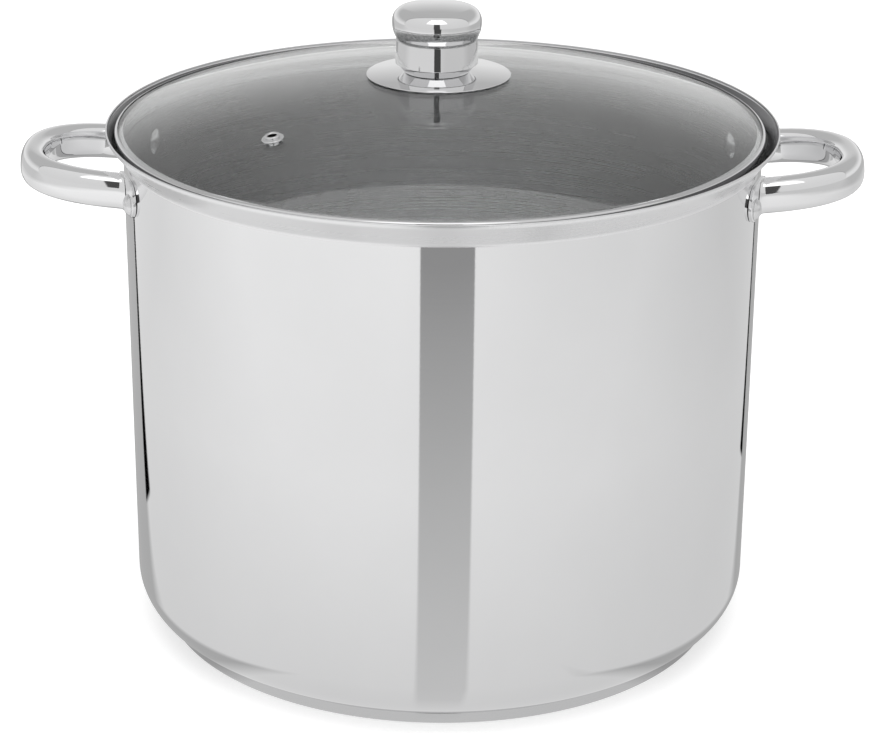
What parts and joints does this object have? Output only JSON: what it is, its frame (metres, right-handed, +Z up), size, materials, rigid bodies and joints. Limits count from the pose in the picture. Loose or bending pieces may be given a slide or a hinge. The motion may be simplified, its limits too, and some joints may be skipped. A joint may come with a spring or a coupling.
{
  "type": "stock pot with glass lid",
  "caption": "Tall flared-rim stainless stock pot, usable as a water-bath canner, with two riveted tube loop handles, an encapsulated base and a lift-off vented glass lid with a hollow knob.",
  "frame": {"origin": "centre of the base's underside, on the surface that the pot stands on", "axes": "+Z up along the pot's axis, +X towards the right-hand handle, -Y towards the viewer"},
  "size_m": [0.4246, 0.3368, 0.3219],
  "materials": {
    "pot_steel": "mirror-polished stainless with very fine circumferential lines",
    "base_steel": "satin stainless, turned in circles",
    "aluminium_core": "as stamped",
    "handle_steel": "mirror-polished stainless",
    "rivet_steel": "polished stainless",
    "lid_glass": "clear tempered glass",
    "band_steel": "polished stainless",
    "knob_steel": "mirror-polished stainless",
    "silicone": "translucent silicone"
  },
  "bodies": {
    "pot": {"pot_shell": "pot_steel", "base_core": "aluminium_core", "base_cap": "base_steel", "right_handle": "handle_steel", "left_handle": "handle_steel", "right_front_ear": "handle_steel", "right_front_rivet": "rivet_steel", "right_rear_ear": "handle_steel", "right_rear_rivet": "rivet_steel", "left_rear_ear": "handle_steel", "left_rear_rivet": "rivet_steel", "left_front_ear": "handle_steel", "left_front_rivet": "rivet_steel"},
    "lid": {"lid_glass": "lid_glass", "lid_rim_band": "band_steel", "vent_eyelet": "band_steel", "vent_washer": "band_steel", "knob_gasket_upper": "silicone", "knob_gasket_lower": "silicone", "knob_screw_washer": "rivet_steel", "knob_screw": "rivet_steel", "knob_flange": "knob_steel", "knob_cup": "knob_steel", "knob_cap": "knob_steel", "knob_boss": "rivet_steel"}
  },
  "joints": [
    {"name": "lid_lift", "type": "slide", "parent": "pot", "child": "lid", "axis": [0, 0, 1], "range_m": [0, 0.3]}
  ]
}
